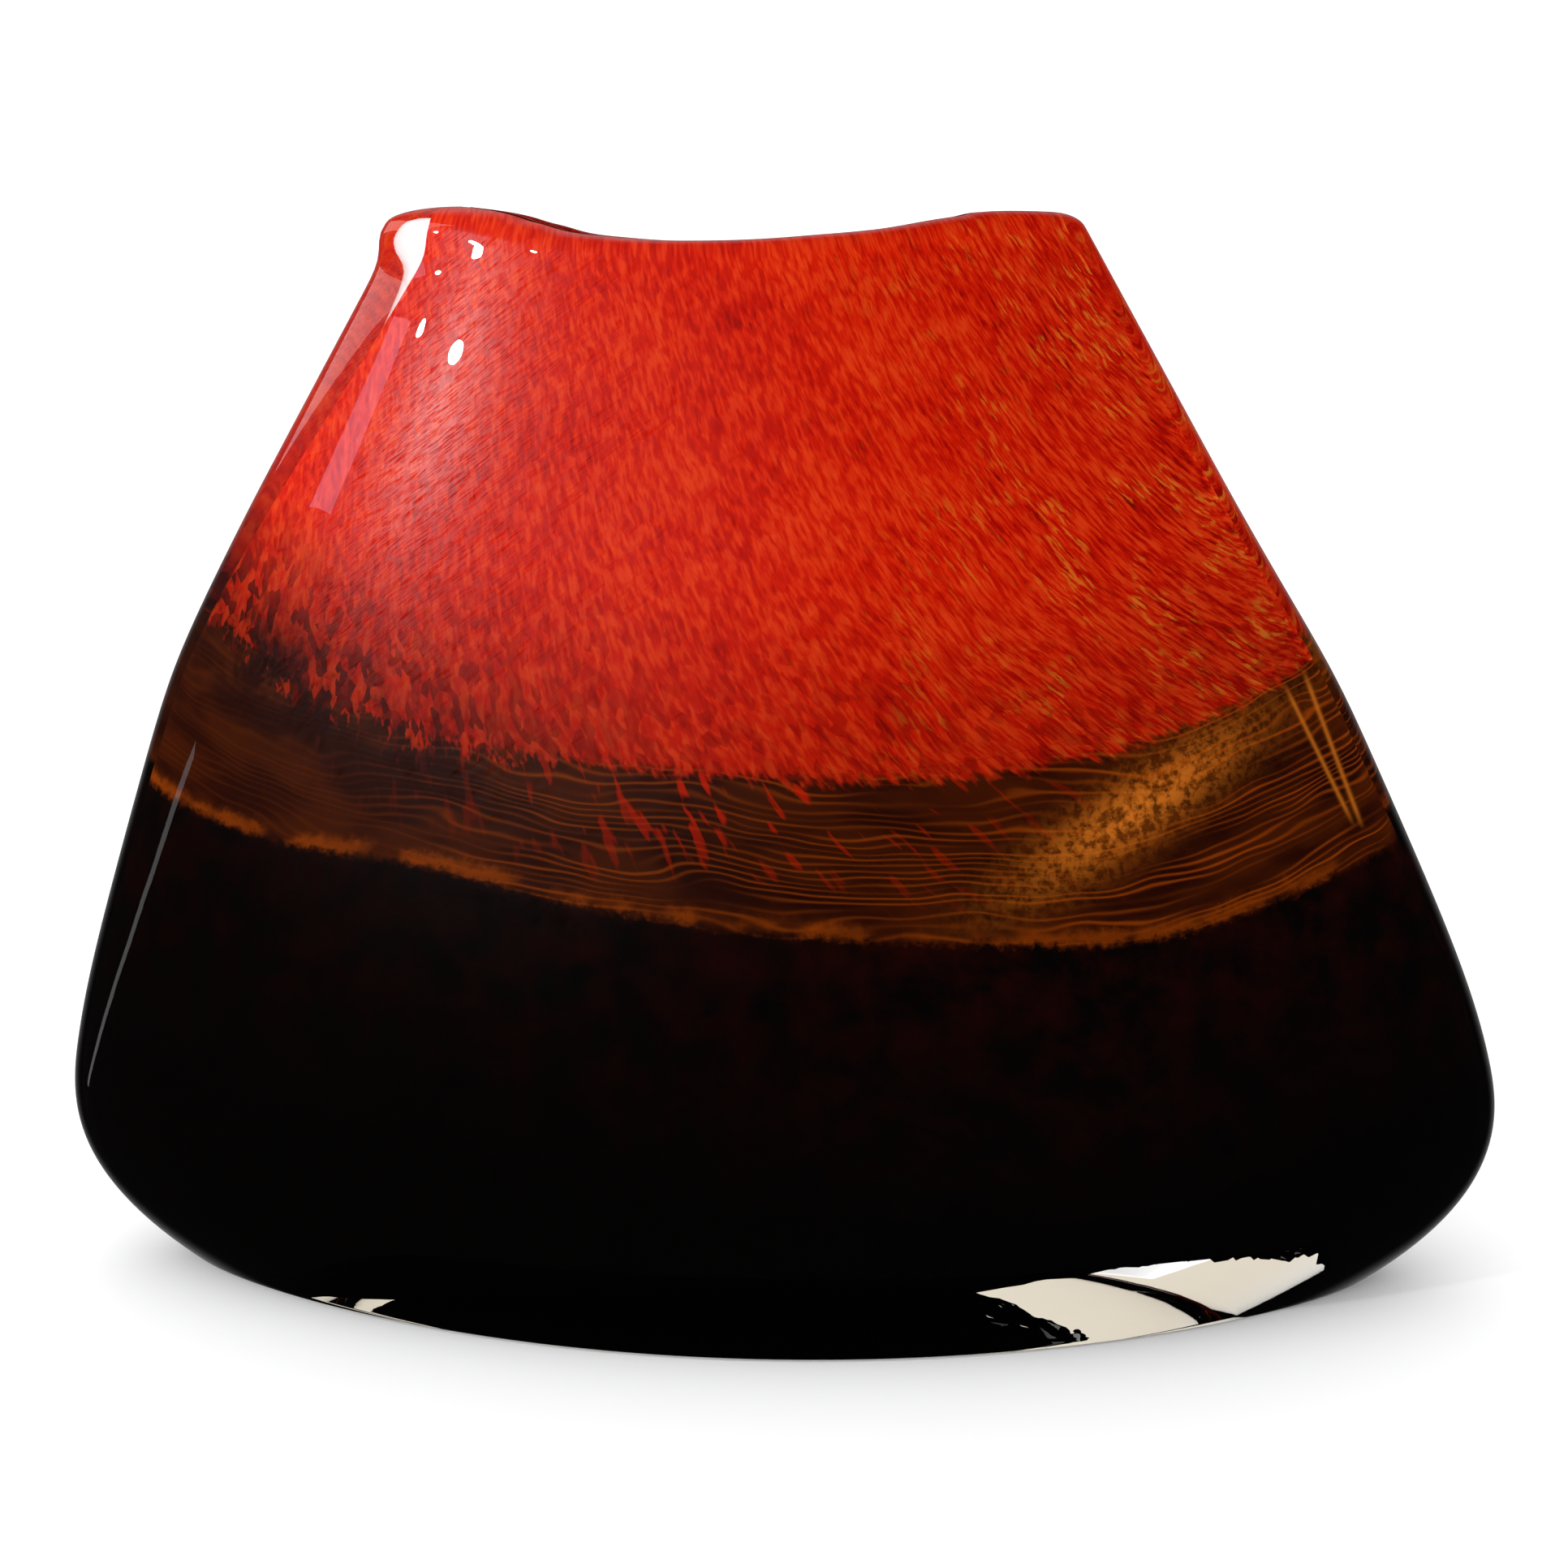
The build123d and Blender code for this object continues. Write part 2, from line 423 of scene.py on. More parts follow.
def shell_tree():
    """The Geometry Nodes tree that shapes every layer of the vase."""
    tree = bpy.data.node_groups.new("Glass Shell", "GeometryNodeTree")
    for name, kind, default in SHELL_INPUTS:
        socket = tree.interface.new_socket(name, in_out="INPUT", socket_type=kind)
        if default is not None:
            socket.default_value = default
    tree.interface.new_socket("Geometry", in_out="OUTPUT", socket_type="NodeSocketGeometry")
    given = add(tree, "NodeGroupInput")

    counts = {"Size X": 1, "Size Y": 1, "Vertices X": given["Around"], "Vertices Y": given["Rows"]}
    grid = add(tree, "GeometryNodeMeshGrid", None, counts)["Mesh"]
    at = add(tree, "ShaderNodeSeparateXYZ", None, {0: add(tree, "GeometryNodeInputPosition")[0]})
    angle = (at["X"] + 0.5) * tau
    row = at["Y"] + 0.5
    across = angle.cos()
    leftward = (-1 * across).at_least(0)

    # how far along each stretch of the shell this row is
    under = row.ramp(0, UNDERSIDE_END)
    outside = row.ramp(UNDERSIDE_END, OUTSIDE_END)
    edge = row.ease(OUTSIDE_END, EDGE_END)
    inside = row.ramp(EDGE_END, INSIDE_END)
    bottom = row.ramp(INSIDE_END, 1)
    ring = given["Ring"]
    cup = 1 - ring

    thickness = given["Inner Depth"] - given["Outer Depth"]
    depth = given["Outer Depth"] + thickness * (edge - ring * bottom)

    # the upper edge, which falls away on both sides of the lip's crest
    square = across * across
    half_wall = given["Full Wall"] / 2
    off_crest = (abs(depth - half_wall) / half_wall).clamped() ** CROWN_SQUARENESS
    fall = given["Crown"] * (1 - (1 - off_crest).at_least(0) ** (1 / CROWN_SQUARENESS))
    points = [(way / 2 + 0.5, up) for way, up in MOUTH_LINE]
    mouth = add(tree, "ShaderNodeFloatCurve", {"points": points}, {"Value": across / 2 + 0.5})[0]
    sag = given["Top Rise"] * square + given["Top Tilt"] * across + given["Mouth Rise"] * mouth
    top = given["Top Height"] + sag - fall

    # the lower edge or the rounded floor, and how far out of the middle the row stands
    outer_power = 2 / given["Outer Squareness"]
    inner_power = 2 / given["Inner Squareness"]
    quarter = pi / 2
    outer_start = given["Outer Floor"] + cup * given["Outer Bowl"]
    inner_start = given["Inner Floor"] + cup * given["Inner Bowl"]
    start = outer_start + (inner_start - outer_start) * edge
    start = start + ring * (given["Base Rise"] * square + given["Base Tilt"] * across)
    outer_drop = given["Outer Bowl"] * (under * quarter).cos().at_least(0) ** outer_power
    inner_drop = given["Inner Bowl"] * (bottom * quarter).sin() ** inner_power
    height = start + (top - start) * (outside - inside) - cup * (outer_drop + inner_drop)
    outer_share = (under * quarter).sin() ** outer_power
    inner_share = (bottom * quarter).cos().at_least(0) ** inner_power
    share = ring + cup * outer_share * inner_share

    # the pointed oval, first as shares of its width and depth
    backward = angle.sin()
    bluntness = (backward * backward + OVAL_BLUNTNESS**2) ** 0.5
    widest = 1 - OVAL_SHARPNESS + OVAL_SHARPNESS * (1 + OVAL_BLUNTNESS**2) ** 0.5
    swell = backward * (1 - OVAL_SHARPNESS + OVAL_SHARPNESS * bluntness) / widest

    # the ragged surface under the core, for the shells that touch it
    plan_x = given["Half Width"] * share * across
    plan_y = given["Half Depth"] * share * swell
    lift = underside_lift(tree, given, plan_x, plan_y)
    touched = given["Outer Touched"] * (1 - edge) + given["Inner Touched"] * edge
    height = height + touched * lift * (1 - height.ease(*FADE_HEIGHTS))

    # the pointed oval at that height
    front = blank_reach(height, given["Half Width"], FRONT_FORM) - TIP_THICKENING * depth
    side = blank_reach(height, given["Half Depth"], SIDE_FORM) - depth

    # the lean, the thicker clear glass at the upper left, and the flared lip there
    shift = given["Lean"] * height.ease(*LEAN_HEIGHTS)
    buried = (depth / INSET_DEPTH).clamped()
    shift = shift + given["Left Inset"] * buried * leftward * leftward * height.ease(*INSET_HEIGHTS)
    shift = shift - given["Lip Flare"] * leftward**4 * height.bump(FLARE_HEIGHT, FLARE_SPREAD)
    x = shift + front * share * across
    y = side * share * swell

    spots = {"Geometry": grid, "Position": place(tree, x, y, height)}
    moved = add(tree, "GeometryNodeSetPosition", None, spots)[0]
    merged = add(tree, "GeometryNodeMergeByDistance", None, {"Geometry": moved, "Distance": TOUCHING})[0]
    smooth = add(tree, "GeometryNodeSetShadeSmooth", None, {"Geometry": merged, "Shade Smooth": True})[0]
    real = add(tree, "GeometryNodeRealizeInstances", None, {"Geometry": smooth})[0]
    glazed = add(tree, "GeometryNodeSetMaterial", None, {"Geometry": real, "Material": given["Material"]})[0]
    add(tree, "NodeGroupOutput", None, {"Geometry": glazed})
    return tree


def blow(name, node, slot, material, **sizes):
    """Makes one shell, as a plain mesh that stands for its CAD node."""
    tree = bpy.data.node_groups.get("Glass Shell") or shell_tree()
    form = bpy.context.scene.vase_sizes
    shell = bpy.data.objects.new(name, bpy.data.meshes.new(name))
    bpy.context.scene.collection.objects.link(shell)
    common = {
        "Half Width": form.half_width,
        "Half Depth": form.half_depth,
        "Full Wall": form.casing_wall + form.colour_wall + form.lining_wall,
        "Lean": form.lean,
        "Left Inset": form.left_inset,
        "Lip Flare": form.lip_flare,
        "Core Lift": form.core_lift,
        "Back Drop": form.back_drop,
        "Material": material,
    }
    modifier = shell.modifiers.new("Shell", "NODES")
    modifier.node_group = tree
    sockets = [item for item in tree.interface.items_tree if item.in_out == "INPUT"]
    identifiers = {socket.name: socket.identifier for socket in sockets}
    for size, value in {**common, **sizes}.items():
        modifier[identifiers[size]] = value
    depsgraph = bpy.context.evaluated_depsgraph_get()
    mesh = bpy.data.meshes.new_from_object(shell.evaluated_get(depsgraph), depsgraph=depsgraph)
    if not mesh.polygons:
        raise RuntimeError(f"{name} came out empty")
    shell.modifiers.clear()
    shell.data = mesh
    mesh.name = name
    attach(shell, "root")
    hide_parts(node)


def rim_edge(form, sunk=0.0):
    """The sagging mouth, for the shells that reach it."""
    return {
        "Top Height": form.dip_height - sunk,
        "Mouth Rise": form.mouth_rise,
        "Crown": form.lip_crown,
    }


# Where one shell of colour ends and the next begins: height in the middle, rise to the sides, tilt
RED_EDGE = {"height": 115 * MM, "rise": 24 * MM, "tilt": -3 * MM}
AMBER_EDGE = {"height": 85 * MM, "rise": 14 * MM, "tilt": -5 * MM}


# ---------------------------------------------------------------- materials

# Lengths in the materials are in millimetres. First the two lines where one colour gives way to
# the next, as points (across, height).
RED_LINE = (
    (-150, 158), (-119, 141), (-81, 122.5), (-23, 116), (23, 114), (62, 117), (107, 130.5), (150, 150),
)
AMBER_LINE = (
    (-150, 112), (-108, 98.5), (-65, 95), (-23, 88), (49, 82.5), (75, 82), (103, 88), (150, 101),
)
SPAN = 300  # covered by each line, both across and up

# The frit fans out from a little below the foot: it is upright this far to the left, and turns
# by this angle for each millimetre to the right of there
FAN_LEFT, FAN_DROP, FAN_TURN = 75, 7, 0.0058
LEFT_SIDE, RIGHT_SIDE = (15, 105), (-10, 85)  # smooth steps, outwards from near the middle
GLOOM_HEIGHT = 36  # dark chips gather in the red up to this far over its foot
BLOTCH_SPREAD = 11  # dark blotches lie this near to the foot of the red

# The amber's threads, its sloping gold patch, and two gold streaks, each as (top, foot)
THREAD_GAP = 1.5
THREAD_DRIFT = 9  # threads that the drift carries a line up or down by, at most
PATCH_ACROSS, PATCH_WIDTH = 72, 20
PATCH_HEIGHT, PATCH_DEPTH, PATCH_SLOPE = 107, 6.5, 0.55
STREAKS = (((101, 128), (116, 99)), ((105, 130), (118, 98)))
STREAK_WIDTH, STREAK_FADE = 0.45, 4
SELVEDGE_HEIGHT, SELVEDGE_SPREAD = 1.2, 1.6
HAZE_DEPTH = 55  # the haze in the black reaches this far below the amber

# Fine scratches cross the casing at the upper left, each as (middle, spread)
WORN_ACROSS, WORN_HEIGHT = (-52, 40), (165, 52)


def new_material(name):
    """An empty node material and its tree."""
    material = bpy.data.materials.new(name)
    material.use_nodes = True
    material.node_tree.nodes.clear()
    return material, material.node_tree


def coordinates(tree):
    """Object coordinates in millimetres, as three Wires."""
    raw = add(tree, "ShaderNodeTexCoord")["Object"]
    apart = add(tree, "ShaderNodeSeparateXYZ", None, {0: raw})
    return [apart[axis] * (1 / MM) for axis in ("X", "Y", "Z")]


def boundary(tree, x, line):
    """Height of a colour boundary across the front, in millimetres."""
    points = [(across / SPAN + 0.5, height / SPAN) for across, height in line]
    curve = add(tree, "ShaderNodeFloatCurve", {"points": points}, {"Value": x / SPAN + 0.5})
    return curve[0] * SPAN


def chips(tree, across, deep, along):
    """Random value, the same all over one chip of frit."""
    settings = {"voronoi_dimensions": "3D", "feature": "F1"}
    inputs = {"Vector": place(tree, across, deep, along), "Scale": 1, "Randomness": 1}
    cells = add(tree, "ShaderNodeTexVoronoi", settings, inputs)["Color"]
    return add(tree, "ShaderNodeSeparateColor", None, {0: cells})[0]


class Frit:
    """Where a point of the coloured shell is, and how the frit lies there.

    The frit was drawn out while hot: upright at the left, lying over towards the right.
    """

    def __init__(self, tree):
        self.tree = tree
        self.x, self.y, self.z = coordinates(tree)
        self.spot = place(tree, self.x, self.y, self.z)
        self.grit = noise(tree, self.spot, 0.55, 3, 0.65)
        sway = noise(tree, self.spot, 0.045, 2) - 0.5
        turn = (self.x + FAN_LEFT) * FAN_TURN
        radius = self.z + FAN_DROP
        self.along = radius * turn.cos() + sway * 5
        self.aside = radius * turn.sin() + sway * 3 + (self.grit - 0.5) * 0.5
        self.leftness = (-1 * self.x).ease(*LEFT_SIDE)
        self.rightness = self.x.ease(*RIGHT_SIDE)
        self.stroke = self.strands(1.1, 5, 3.4, 1.5, 0.55).ease(0.36, 0.66)
        self.streak = self.strands(0.55, 4, 5.5, 2, 0.6).ease(0.34, 0.68)
        self.chip = chips(tree, self.aside / 1.15, self.y / 5, self.along / 3.0)
        self.red_line = boundary(tree, self.x, RED_LINE)
        self.amber_line = boundary(tree, self.x, AMBER_LINE)
        self.over_red_line = self.z - self.red_line
        self.over_amber_line = self.z - self.amber_line

    def strands(self, wide, deep, long, detail, roughness=0.5):
        """Noise drawn out along the frit, in strands of about this size."""
        at = place(self.tree, self.aside / wide, self.y / deep, self.along / long)
        return noise(self.tree, at, 1, detail, roughness)


def red_lightness(frit):
    """How light the red glass is: strokes and chips at the left, more and more streaks to the right."""
    cloud = noise(frit.tree, frit.spot, 0.06, 3, 0.6)
    light = 0.15 + 0.38 * frit.stroke + 0.19 * frit.chip + 0.15 * frit.streak
    return (light + (frit.streak - light) * frit.rightness * 0.7 + (cloud - 0.5) * 0.7).clamped()


def red_tone(frit, light):
    """Red and orange, with gold streaks at the right, partly frit and partly painted light shining through,
    and dark chips that gather at the foot.
    """
    tones = bpy.context.scene.vase_colours
    tree = frit.tree
    stops = (
        (0.00, tones.dark_red),
        (0.16, tones.deep_red),
        (0.48, tones.red),
        (0.85, tones.orange_red),
    )
    red = add(tree, "ShaderNodeValToRGB", {"stops": stops}, {0: light})[0]
    # Painted light: gold streaks at the right of the red, partly frit and partly light shining through it,
    # painted into the colour.
    streak_and_glow_field = noise(tree, place(tree, frit.aside / 0.6 + 31, frit.y / 3, frit.along / 4.0), 1, 2)
    streak_and_glow_group = noise(tree, frit.spot, 0.1, 2).ease(0.42, 0.62)
    streaks_and_glow = streak_and_glow_field.ease(0.52, 0.66) * frit.rightness * streak_and_glow_group * 0.95
    red = mix(red, tuple(tones.gold), streaks_and_glow)
    low_red = 1 - frit.over_red_line.ramp(0, GLOOM_HEIGHT)
    dark_chips = 0.5 + 0.5 * (1 - frit.chip).ease(0.3, 0.85)
    return mix(red, tuple(tones.maroon), low_red * (0.55 + 0.9 * frit.leftness) * dark_chips)


def amber_tone(frit):
    """Amber drawn into fine level threads, with drips of red, and gold in a patch and two streaks."""
    tones = bpy.context.scene.vase_colours
    tree, x, y, z = frit.tree, frit.x, frit.y, frit.z
    level = z - 0.4 * frit.red_line - 0.6 * frit.amber_line
    drift = noise(tree, place(tree, x / 45, y / 40, level / 14), 1, 2)
    phase = level / THREAD_GAP + THREAD_DRIFT * drift
    thread = ((phase * tau).sin() * 0.5 + 0.5) ** 3
    faint = noise(tree, place(tree, x / 50, y / 40, phase * 0.7), 1, 1).ease(0.35, 0.65)
    rich = noise(tree, place(tree, x / 24, y / 20, level / 8), 1, 2).ease(0.35, 0.65)
    drawn = 0.02 + 0.12 * rich + thread * faint * (0.1 + 0.6 * x.ease(-85, -40))
    amber = mix(tuple(tones.brown), tuple(tones.amber), drawn * (0.75 + 0.5 * x.ease(0, 110)))

    drip = frit.strands(1.4, 5, 9, 1).ease(0.60, 0.70)
    drip = drip * x.bump(-5, 48) * frit.over_amber_line.ramp(3, 26)
    amber = mix(amber, tuple(tones.red), drip * 0.65)

    sloping = z - PATCH_SLOPE * (x - PATCH_ACROSS)
    patch = x.bump(PATCH_ACROSS, PATCH_WIDTH) * sloping.bump(PATCH_HEIGHT, PATCH_DEPTH)
    grainy = 0.15 + 0.85 * frit.grit.ease(0.36, 0.62)
    amber = mix(amber, tuple(tones.gold), (patch * grainy).clamped())
    for top, foot in STREAKS:
        amber = mix(amber, tuple(tones.gold), streak_line(x, z, top, foot) * 0.7)

    selvedge = (frit.over_amber_line + (frit.grit - 0.5) * 4).bump(SELVEDGE_HEIGHT, SELVEDGE_SPREAD)
    broken = noise(tree, frit.spot, 0.09, 2).ease(0.4, 0.6)
    return mix(amber, tuple(tones.amber), selvedge * broken * 0.6)


def streak_line(x, z, top, foot):
    """1 along a thin straight streak between two places, and nothing beside it."""
    slope = (top[0] - foot[0]) / (top[1] - foot[1])
    aside = x - foot[0] - (z - foot[1]) * slope
    begun = z.ramp(foot[1], foot[1] + STREAK_FADE)
    ended = z.ramp(top[1] - STREAK_FADE, top[1])
    return aside.bump(0, STREAK_WIDTH) * begun * (1 - ended)


def black_tone(frit):
    """Black, with a faint red-brown haze near the amber."""
    tones = bpy.context.scene.vase_colours
    cloudy = noise(frit.tree, frit.spot, 0.12, 3, 0.7).ease(0.3, 0.75)
    haze = frit.over_amber_line.ramp(-HAZE_DEPTH, 0) * cloudy * (0.3 + 0.35 * frit.x.ease(-90, 60))
    return mix(tuple(tones.black), tuple(tones.ember), haze)


def glass_colour(tree):
    """The colour of the coloured shell at every point, and how light its chips are."""
    frit = Frit(tree)
    light = red_lightness(frit)
    ragged = (frit.stroke - 0.5) * 5 + (frit.grit - 0.5) * 7
    over_amber = (frit.over_amber_line + (frit.grit - 0.5) * 4).ease(-1.2, 1.2)
    over_red = (frit.over_red_line + ragged * (0.35 + frit.leftness)).ease(-1.5, 1.5)
    below = mix(black_tone(frit), amber_tone(frit), over_amber)
    mixed = mix(below, red_tone(frit, light), over_red)
    flecks = noise(tree, frit.spot, 0.09, 4, 0.7).ease(0.42, 0.58)
    blotch = frit.leftness * frit.over_red_line.bump(0, BLOTCH_SPREAD) * flecks
    return mix(mixed, tuple(bpy.context.scene.vase_colours.brown), blotch), light


def coloured_glass(name):
    """One band of the coloured shell."""
    material, tree = new_material(name)
    tone, light = glass_colour(tree)
    relief = add(tree, "ShaderNodeBump", None, {"Strength": 0.15, "Distance": 0.2 * MM, "Height": light})[0]
    glass = add(tree, "ShaderNodeBsdfPrincipled", None, {
        "Base Color": tone,
        "Roughness": 0.32 + 0.2 * light,
        "Specular IOR Level": 0,
        "Normal": relief,
    })[0]
    add(tree, "ShaderNodeOutputMaterial", None, {"Surface": glass})
    return material


def wear(tree, x, y, z):
    """1 where fine scratches lie in slanting streaks at the upper left, and nothing elsewhere."""
    turned = place(tree, x * 0.8 + z * 0.6, y, z * 0.8 - x * 0.6)
    scaling = {0: turned, 1: (0.25, 1.5, 4)}
    stretched = add(tree, "ShaderNodeVectorMath", {"operation": "MULTIPLY"}, scaling)[0]
    streaks = noise(tree, stretched, 1, 3, 0.6).ease(0.32, 0.62)
    return streaks * x.bump(*WORN_ACROSS) * z.bump(*WORN_HEIGHT)


def clear_glass(name, waviness, scratched=False):
    """Clear glass with a slow hand-worked wave in it, which lets light through to the colour."""
    material, tree = new_material(name)
    x, y, z = coordinates(tree)
    spot = place(tree, x, y, z)
    tint = mix((1, 1, 1, 1), (0.965, 0.975, 0.96, 1), noise(tree, spot, 0.02, 1))
    wave = noise(tree, spot, 0.035, 1) + 0.12 * noise(tree, spot, 0.16, 1)
    relief = add(tree, "ShaderNodeBump", None, {"Strength": 1, "Distance": waviness, "Height": wave})[0]
    finish = {
        "Base Color": tint,
        "Roughness": 0,
        "IOR": 1.5,
        "Transmission Weight": 1,
        "Normal": relief,
    }
    if scratched:
        finish["Coat Weight"] = wear(tree, x, y, z)
        finish["Coat Roughness"] = 0.3
    glass = add(tree, "ShaderNodeBsdfPrincipled", None, finish)[0]
    passing = add(tree, "ShaderNodeBsdfTransparent", None, {"Color": (1, 1, 1, 1)})[0]
    shadow = add(tree, "ShaderNodeLightPath")["Is Shadow Ray"]
    both = add(tree, "ShaderNodeMixShader", None, {0: shadow, 1: glass, 2: passing})[0]
    add(tree, "ShaderNodeOutputMaterial", None, {"Surface": both})
    return material


def pale_floor():
    """A nearly white floor with a very faint mottle."""
    material, tree = new_material("pale_floor")
    x, y, z = coordinates(tree)
    mottle = noise(tree, place(tree, x, y, z), 0.01, 2)
    tone = mix((0.93, 0.93, 0.93, 1), (0.95, 0.95, 0.95, 1), mottle)
    matt = add(tree, "ShaderNodeBsdfPrincipled", None, {
        "Base Color": tone, "Roughness": 0.9, "Specular IOR Level": 0,
    })[0]
    add(tree, "ShaderNodeOutputMaterial", None, {"Surface": matt})
    return material


# ---------------------------------------------------------------- studio

FLOOR_REACH, FLOOR_GAP = 6, 0.2 * MM
LIT_POINT = Vector((0, 0, 120 * MM))
BEHIND = (0.45, 0.85)  # directions that count as behind, from partly to wholly
OFF_LEFT = (-0.75, -0.35)  # directions from far left, where glass shows no warmth, to the rest


def lay_floor(scene):
    """Lays the floor just under the foot. Glass doesn't mirror it."""
    shape = bmesh.new()
    bmesh.ops.create_grid(shape, x_segments=8, y_segments=8, size=FLOOR_REACH)
    bmesh.ops.translate(shape, verts=shape.verts, vec=(0, 0, -FLOOR_GAP))
    mesh = bpy.data.meshes.new("floor")
    shape.to_mesh(mesh)
    shape.free()
    mesh.materials.append(pale_floor())
    floor = bpy.data.objects.new("floor", mesh)
    scene.collection.objects.link(floor)
    floor.visible_glossy = False


def hang_surroundings(scene):
    """Pale surroundings, dimmer where glass mirrors them and warmer where they show through it."""
    settings = scene.vase_studio
    world = bpy.data.worlds.new("pale_surroundings")
    world.use_nodes = True
    tree = world.node_tree
    tree.nodes.clear()
    path = add(tree, "ShaderNodeLightPath")
    mirrored = path["Is Glossy Ray"] * path["Is Reflection Ray"]
    apart = add(tree, "ShaderNodeSeparateXYZ", None, {0: add(tree, "ShaderNodeTexCoord")["Generated"]})
    front, back = settings.front_in_gloss, settings.back_in_gloss
    seen = front + (back - front) * apart["Y"].ease(*BEHIND)
    strength = settings.sky * (1 - mirrored * (1 - seen))
    refracted = path["Is Transmission Ray"] * apart["X"].ease(*OFF_LEFT)
    tone = mix((1, 1, 1, 1), tuple(settings.through_glass), refracted)
    sky = add(tree, "ShaderNodeBackground", None, {"Color": tone, "Strength": strength})[0]
    add(tree, "ShaderNodeOutputWorld", None, {"Surface": sky})
    scene.world = world


def lamp(name, spot, wide, tall, power, shape="RECTANGLE", tone=(1, 1, 1), roll=0):
    """A soft lamp that faces the middle of the vase, rolled by an angle where it is a strip or card."""
    light = bpy.data.lights.new(name, "AREA")
    light.shape = shape
    light.size = wide
    light.size_y = tall
    light.energy = power
    light.color = tone
    body = bpy.data.objects.new(name, light)
    body.location = spot
    facing = (LIT_POINT - body.location).to_track_quat("-Z", "Y")
    body.rotation_euler = (facing @ Quaternion((0, 0, 1), roll)).to_euler()
    bpy.context.scene.collection.objects.link(body)


def set_camera(scene):
    """Stands the camera in front, a little to the right, looking slightly down."""
    settings = scene.vase_studio
    camera = bpy.data.objects.new("camera", bpy.data.cameras.new("camera"))
    turn = settings.eye_turn
    away = settings.eye_distance
    camera.location = (away * sin(turn) + settings.eye_aside, -away * cos(turn), settings.eye_height)
    camera.rotation_euler = (pi / 2 - settings.eye_pitch, 0, turn)
    camera.data.lens = settings.lens
    camera.data.sensor_width = 36
    scene.collection.objects.link(camera)
    scene.camera = camera
    scene.view_settings.view_transform = "Standard"


# ---------------------------------------------------------------- operators

class VASE_OT_outer_casing(bpy.types.Operator):
    """Blow the thick clear casing, with its rounded lip and flat ground foot"""

    bl_idname = "vase.outer_casing"
    bl_label = "Outer Casing"

    def execute(self, context):
        form = context.scene.vase_sizes
        glass = clear_glass("clear_casing", form.casing_wave, scratched=True)
        blow(
            "outer_casing_glass", "outer_casing", "clear_casing", glass,
            **{
                **FINE,
                "Outer Depth": 0.0,
                "Inner Depth": form.casing_wall + form.overlap,
                "Outer Floor": 0.0,
                "Inner Floor": form.core_floor + form.overlap,
                "Inner Touched": 1.0,
                "Inner Bowl": CORE_BOWL,
                "Inner Squareness": CORE_SQUARENESS,
                **rim_edge(form),
            },
        )
        return {"FINISHED"}


class VASE_OT_colour_layers(bpy.types.Operator):
    """Lay the red, amber and black glass between the casing and the lining"""

    bl_idname = "vase.colour_layers"
    bl_label = "Colour Layers"

    def execute(self, context):
        form = context.scene.vase_sizes
        walls = {
            "Outer Depth": form.casing_wall,
            "Inner Depth": form.casing_wall + form.colour_wall,
            "Around": 224,
            "Rows": 200,
        }
        blow(
            "red_frit_glass", "red_frit_layer", "red_frit", coloured_glass("red_frit"),
            **{
                **walls, "Ring": 1.0,
                "Outer Floor": RED_EDGE["height"], "Inner Floor": RED_EDGE["height"],
                "Base Rise": RED_EDGE["rise"], "Base Tilt": RED_EDGE["tilt"],
                **rim_edge(form, sunk=0.3 * MM),
            },
        )
        blow(
            "amber_band_glass", "amber_band", "amber_glass", coloured_glass("amber_glass"),
            **{
                **walls, "Ring": 1.0, "Crown": 0.0,
                "Outer Floor": AMBER_EDGE["height"], "Inner Floor": AMBER_EDGE["height"],
                "Base Rise": AMBER_EDGE["rise"], "Base Tilt": AMBER_EDGE["tilt"],
                "Top Height": RED_EDGE["height"], "Top Rise": RED_EDGE["rise"], "Top Tilt": RED_EDGE["tilt"],
            },
        )
        blow(
            "black_core_glass", "black_layer", "black_glass", coloured_glass("black_glass"),
            **{
                **walls, **FINE, "Crown": 0.0,
                "Outer Floor": form.core_floor, "Inner Floor": form.lining_floor,
                "Outer Bowl": CORE_BOWL, "Outer Squareness": CORE_SQUARENESS, "Outer Touched": 1.0,
                "Top Height": AMBER_EDGE["height"], "Top Rise": AMBER_EDGE["rise"],
                "Top Tilt": AMBER_EDGE["tilt"],
            },
        )
        return {"FINISHED"}


class VASE_OT_inner_lining(bpy.types.Operator):
    """Line the hollow with clear glass, rounded over at the mouth"""

    bl_idname = "vase.inner_lining"
    bl_label = "Inner Lining"

    def execute(self, context):
        form = context.scene.vase_sizes
        colour_depth = form.casing_wall + form.colour_wall
        glass = clear_glass("clear_lining", form.lining_wave)
        blow(
            "inner_lining_glass", "inner_lining", "clear_lining", glass,
            **{
                "Outer Depth": colour_depth - form.overlap,
                "Inner Depth": colour_depth + form.lining_wall,
                "Outer Floor": form.lining_floor - form.overlap,
                "Inner Floor": form.hollow_floor,
                "Outer Bowl": 12 * MM, "Outer Squareness": 3.0,
                **rim_edge(form),
            },
        )
        return {"FINISHED"}


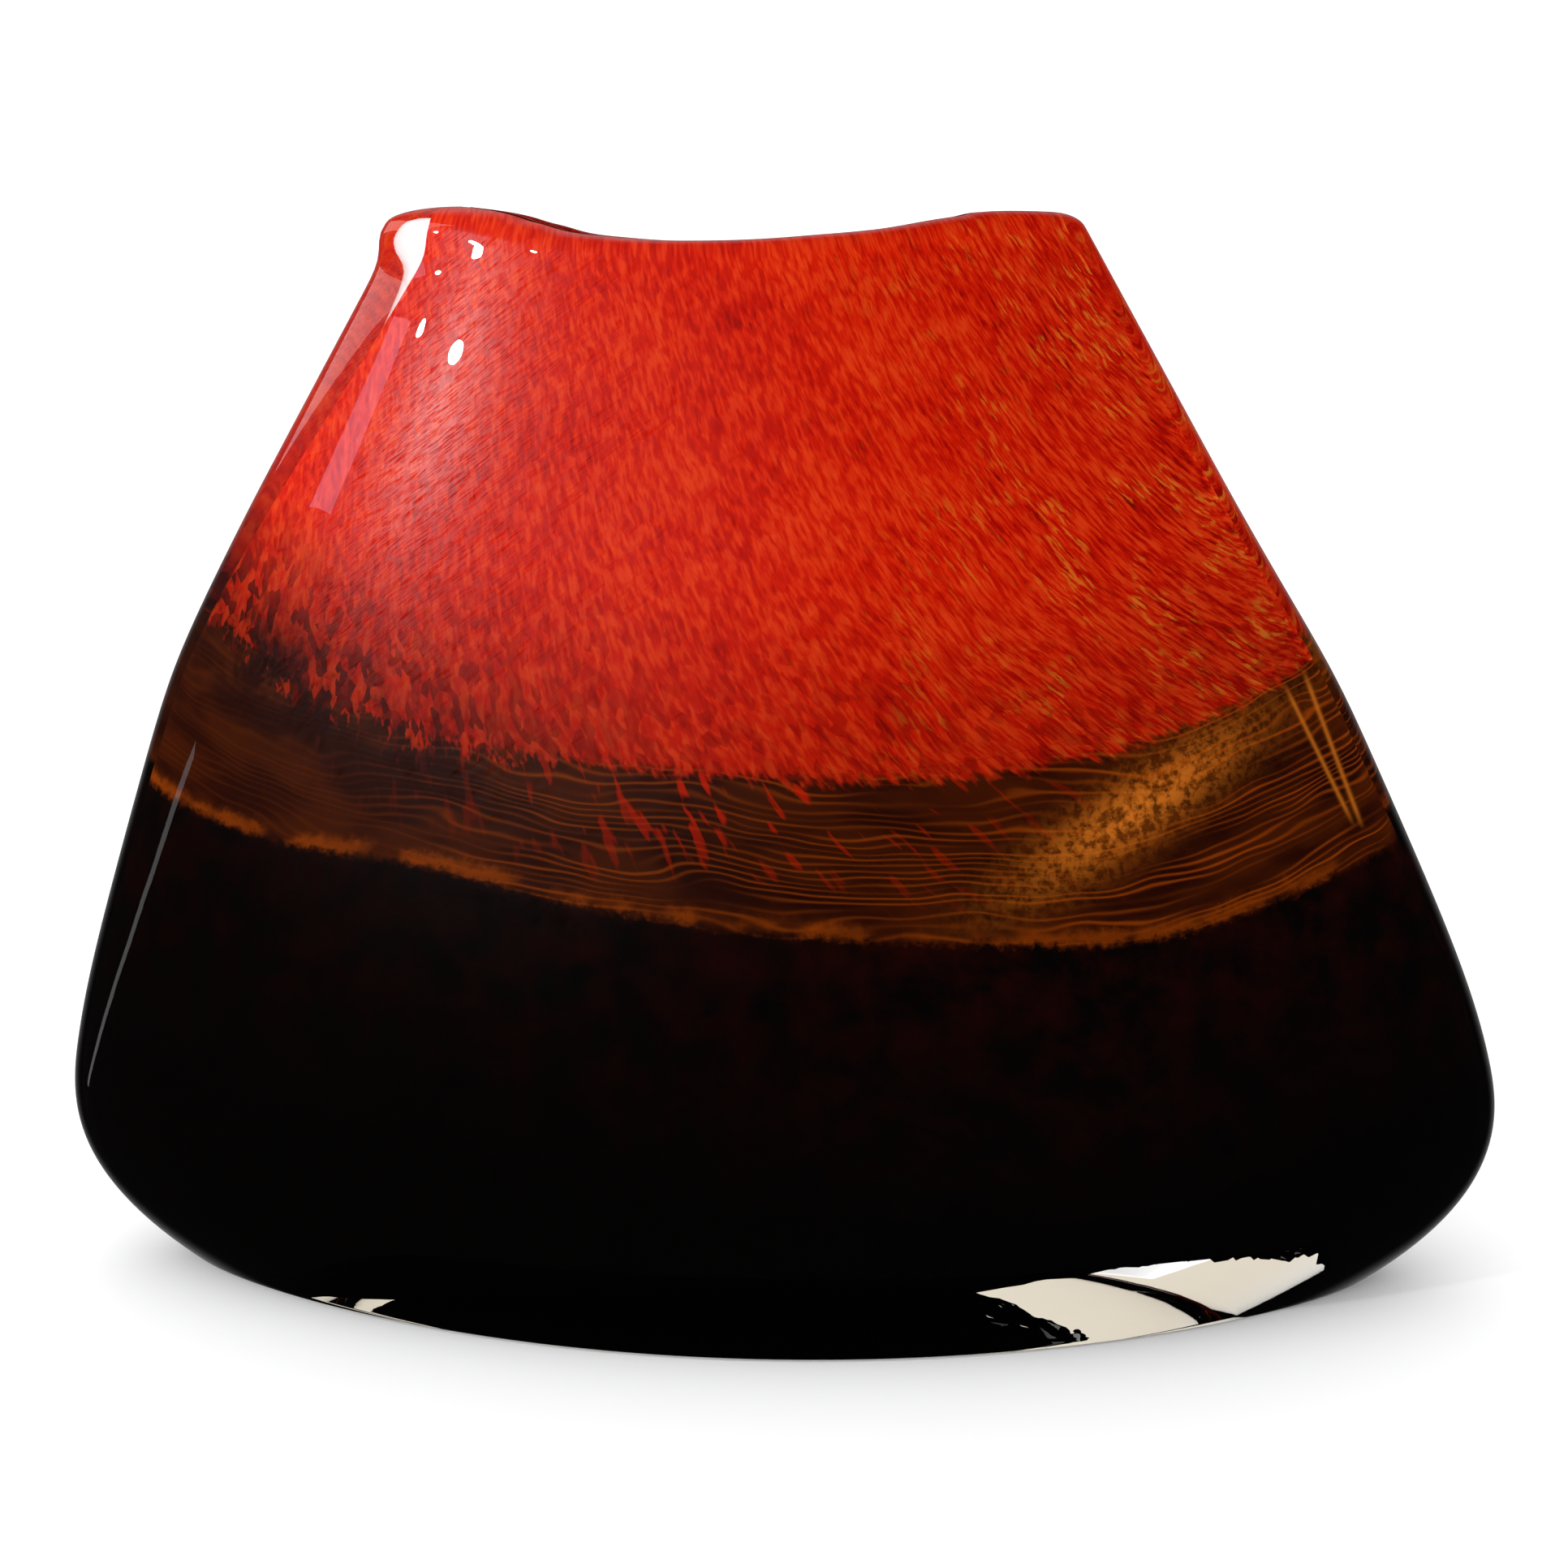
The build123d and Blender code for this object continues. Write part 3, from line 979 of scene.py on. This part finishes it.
class VASE_OT_studio(bpy.types.Operator):
    """Set up the floor, the surroundings, the lamps and the camera"""

    bl_idname = "vase.studio"
    bl_label = "Studio"

    def execute(self, context):
        lay_floor(context.scene)
        hang_surroundings(context.scene)
        lamp("key", (-1.188, -0.790, 0.811), 70 * MM, 26 * MM, 4.1, shape="ELLIPSE")
        lamp("second", (-1.310, -0.565, 0.831), 42 * MM, 16 * MM, 0.4, shape="ELLIPSE")
        lamp("spark", (-0.969, -0.977, 0.904), 26 * MM, 12 * MM, 0.3, shape="ELLIPSE")
        lamp("window", (-1.413, -0.404, 0.748), 170 * MM, 190 * MM, 0.2, tone=(0.85, 0.72, 1.0))
        lamp("left_card", (-1.2, 0.1, 0.92), 1.1, 0.5, 2.6, roll=radians(17))
        lamp("low_strip", (-1.33, 0.081, -0.03), 30 * MM, 0.7, 0.06, roll=radians(-43))
        set_camera(context.scene)
        return {"FINISHED"}


class VASE_PT_panel(bpy.types.Panel):
    """Lists the pieces of the vase"""

    bl_idname = "VASE_PT_panel"
    bl_label = "Cased Glass Vase"
    bl_space_type = "VIEW_3D"
    bl_region_type = "UI"
    bl_category = "Vase"

    def draw(self, context):
        for operator in OPERATORS:
            self.layout.operator(operator.bl_idname)


OPERATORS = (VASE_OT_outer_casing, VASE_OT_colour_layers, VASE_OT_inner_lining, VASE_OT_studio)
CLASSES = (VaseSizes, VaseColours, StudioSettings, *OPERATORS, VASE_PT_panel)


def register():
    for kind in CLASSES:
        bpy.utils.register_class(kind)
    bpy.types.Scene.vase_sizes = bpy.props.PointerProperty(type=VaseSizes)
    bpy.types.Scene.vase_colours = bpy.props.PointerProperty(type=VaseColours)
    bpy.types.Scene.vase_studio = bpy.props.PointerProperty(type=StudioSettings)


def unregister():
    del bpy.types.Scene.vase_studio
    del bpy.types.Scene.vase_colours
    del bpy.types.Scene.vase_sizes
    for kind in reversed(CLASSES):
        bpy.utils.unregister_class(kind)


def main():
    """Builds every piece and the studio."""
    register()
    bpy.ops.vase.outer_casing()
    bpy.ops.vase.colour_layers()
    bpy.ops.vase.inner_lining()
    bpy.ops.vase.studio()


if __name__ == "__main__":
    main()
